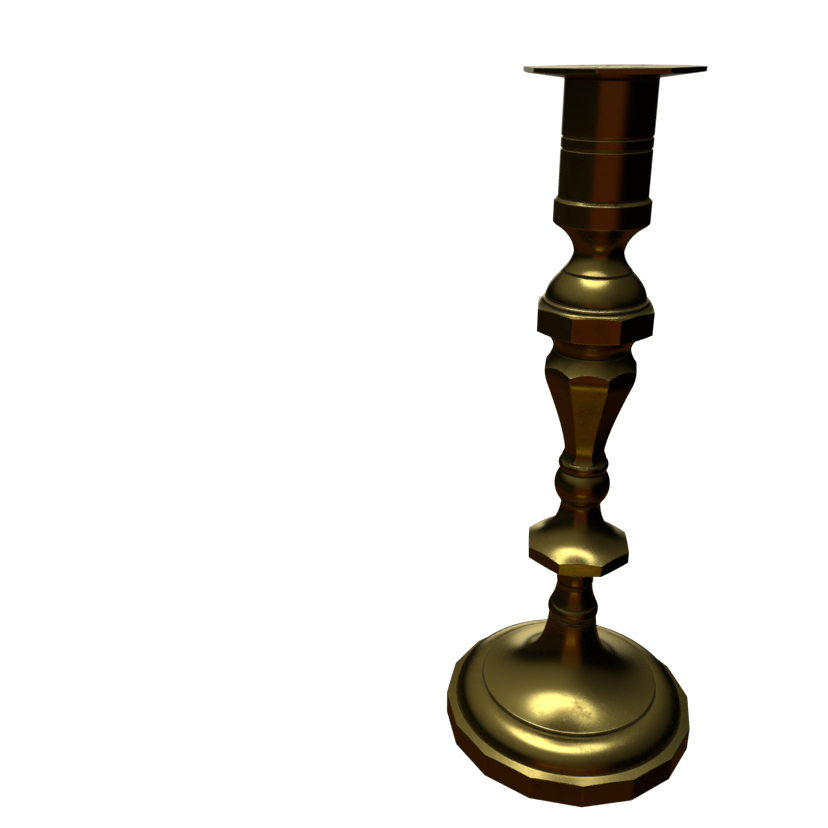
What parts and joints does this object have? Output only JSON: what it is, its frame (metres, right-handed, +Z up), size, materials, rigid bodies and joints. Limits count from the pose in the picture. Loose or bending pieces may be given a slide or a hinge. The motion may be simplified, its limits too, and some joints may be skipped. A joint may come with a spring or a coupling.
{
  "type": "candlestick",
  "caption": "Brass candlestick with a deep socket under an octagonal drip pan, faceted knops, a flared round foot on a many-sided rim and a push-up candle ejector.",
  "frame": {"origin": "centre of the foot on the table", "axes": "+Z up along the stem and the candle; a flat of the baluster faces -Y, and the rim, the upper knop, the saucer knop and the pan are turned from it by a few degrees"},
  "size_m": [0.0882, 0.0882, 0.2271],
  "materials": {
    "aged_brass": "aged satin",
    "ejector_brass": "turned satin",
    "rod_steel": "drawn, dull"
  },
  "bodies": {
    "candlestick": {"drip_pan": "aged_brass", "candle_socket": "aged_brass", "socket_cup": "aged_brass", "shoulder_dome": "aged_brass", "upper_knop": "aged_brass", "baluster": "aged_brass", "ball_knop": "aged_brass", "saucer_knop": "aged_brass", "ring_knop": "aged_brass", "foot_bell": "aged_brass", "foot_rim": "aged_brass", "stem_nut": "ejector_brass"},
    "ejector": {"ejector_rod": "rod_steel", "ejector_cup": "ejector_brass", "ejector_button": "ejector_brass"}
  },
  "joints": [
    {"name": "ejector_slide", "type": "slide", "parent": "candlestick", "child": "ejector", "axis": [0, 0, 1], "range_m": [0, 0.021]}
  ]
}
